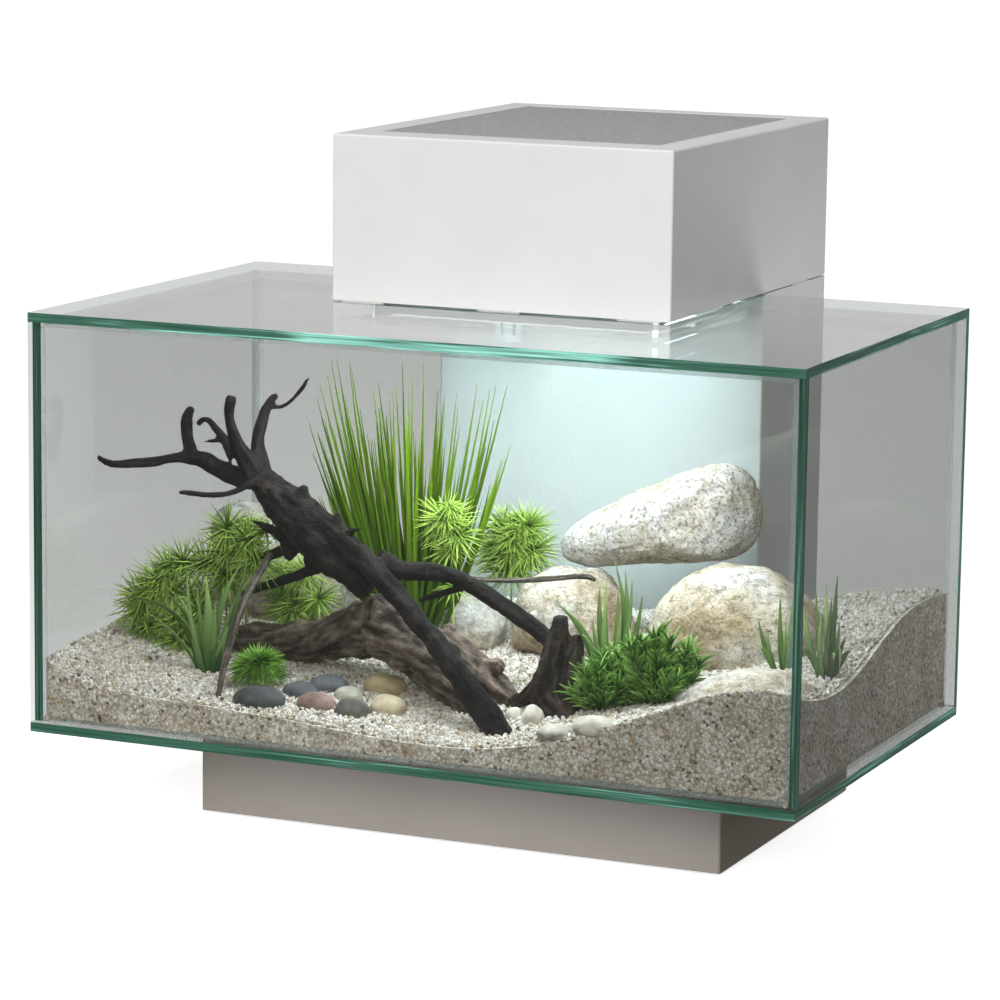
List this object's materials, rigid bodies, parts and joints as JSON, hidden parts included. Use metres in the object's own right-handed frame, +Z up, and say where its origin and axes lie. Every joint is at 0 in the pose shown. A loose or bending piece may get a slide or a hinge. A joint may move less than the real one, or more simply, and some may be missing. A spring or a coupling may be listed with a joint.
{
  "type": "aquarium on stand",
  "caption": "Glass aquarium on a low plinth, with a column behind it that carries a square white hood, and a planted scape of driftwood, stones and gravel.",
  "frame": {"origin": "on the table, under the middle of the overall length and depth", "axes": "+X to the right along the tank, +Y from the tank to the column behind it, +Z up; the front glass faces -Y"},
  "size_m": [0.43, 0.363, 0.367],
  "materials": {
    "tank_glass": "polished",
    "silicone": "satin",
    "white_plastic": "satin gloss",
    "grille_metal": "fine perforated mesh",
    "stand_plastic": "satin",
    "soft_rubber": "matte",
    "black_plastic": "satin",
    "steel": "turned",
    "ceramic": "matte",
    "board": "white solder mask",
    "led": "phosphor",
    "lens": "frosted",
    "foam": "open-cell sponge",
    "carbon_bag": "mesh bag of carbon",
    "gravel": "loose grains",
    "pale_stone": "rough",
    "pebble": "worn smooth",
    "driftwood": "soaked, rough",
    "leaf_green": "waxy leaf",
    "fern_green": "soft needles",
    "moss": "fuzzy"
  },
  "bodies": {
    "tank_and_stand": {"glass_bottom": "tank_glass", "glass_front": "tank_glass", "glass_back": "tank_glass", "glass_left": "tank_glass", "glass_right": "tank_glass", "glass_top": "tank_glass", "silicone_beads": "silicone", "column_shell": "white_plastic", "column_back_cover": "white_plastic", "opening_trim": "white_plastic", "filter_case": "white_plastic", "filter_basket": "white_plastic", "stand_shell": "stand_plastic", "stand_bottom_plate": "stand_plastic", "stand_feet": "soft_rubber", "hood_bumpers": "soft_rubber", "cord_grommet": "soft_rubber", "stand_pad": "soft_rubber", "switch_bezel": "black_plastic", "switch_body": "black_plastic", "pump_motor": "black_plastic", "intake_tube": "black_plastic", "intake_strainer": "black_plastic", "screws": "steel", "lamp_pins": "steel", "pump_shaft": "ceramic", "filter_rings": "ceramic", "filter_foam": "foam", "filter_carbon": "carbon_bag", "gravel_bed": "gravel", "stone_right": "pale_stone", "stone_middle": "pale_stone", "stone_top": "pale_stone", "stone_back": "pale_stone", "stone_left": "pale_stone", "stone_front": "pale_stone", "pebbles": "pebble", "driftwood_stump": "driftwood", "driftwood_log": "driftwood", "driftwood_trunk": "driftwood", "driftwood_twigs": "driftwood", "plant_tall_grass": "leaf_green", "plant_grass_left": "leaf_green", "plant_grass_middle": "leaf_green", "plant_low_bush": "leaf_green", "plant_grass_right": "leaf_green", "plant_fern_left": "fern_green", "plant_fern_middle": "fern_green", "plant_fern_back": "fern_green", "plant_moss_ball": "moss"},
    "hood": {"hood_shell": "white_plastic", "hood_grille": "grille_metal"},
    "lamp": {"lamp_housing": "white_plastic", "lamp_board": "board", "lamp_leds": "led", "lamp_lens": "lens"},
    "filter_lid": {"filter_lid": "white_plastic"},
    "impeller": {"pump_impeller": "black_plastic"},
    "switch_button": {"switch_button": "black_plastic"}
  },
  "joints": [
    {"name": "hood_lift", "type": "slide", "parent": "tank_and_stand", "child": "hood", "axis": [0, 0, 1], "range_m": [0, 0.12]},
    {"name": "lamp_tilt", "type": "hinge", "parent": "tank_and_stand", "child": "lamp", "pos_m": [0, 0.0735, 0.296], "axis": [-1, 0, 0], "range_deg": [0, 85]},
    {"name": "filter_lid_lift", "type": "slide", "parent": "tank_and_stand", "child": "filter_lid", "axis": [0, 0, 1], "range_m": [0, 0.04]},
    {"name": "impeller_spin", "type": "hinge", "parent": "tank_and_stand", "child": "impeller", "pos_m": [-0.049, 0.1045, 0.14], "axis": [0, 0, 1], "continuous": true},
    {"name": "switch_press", "type": "slide", "parent": "tank_and_stand", "child": "switch_button", "axis": [0, -1, 0], "range_m": [0, 0.0018], "stiffness_N_per_m": 400}
  ]
}
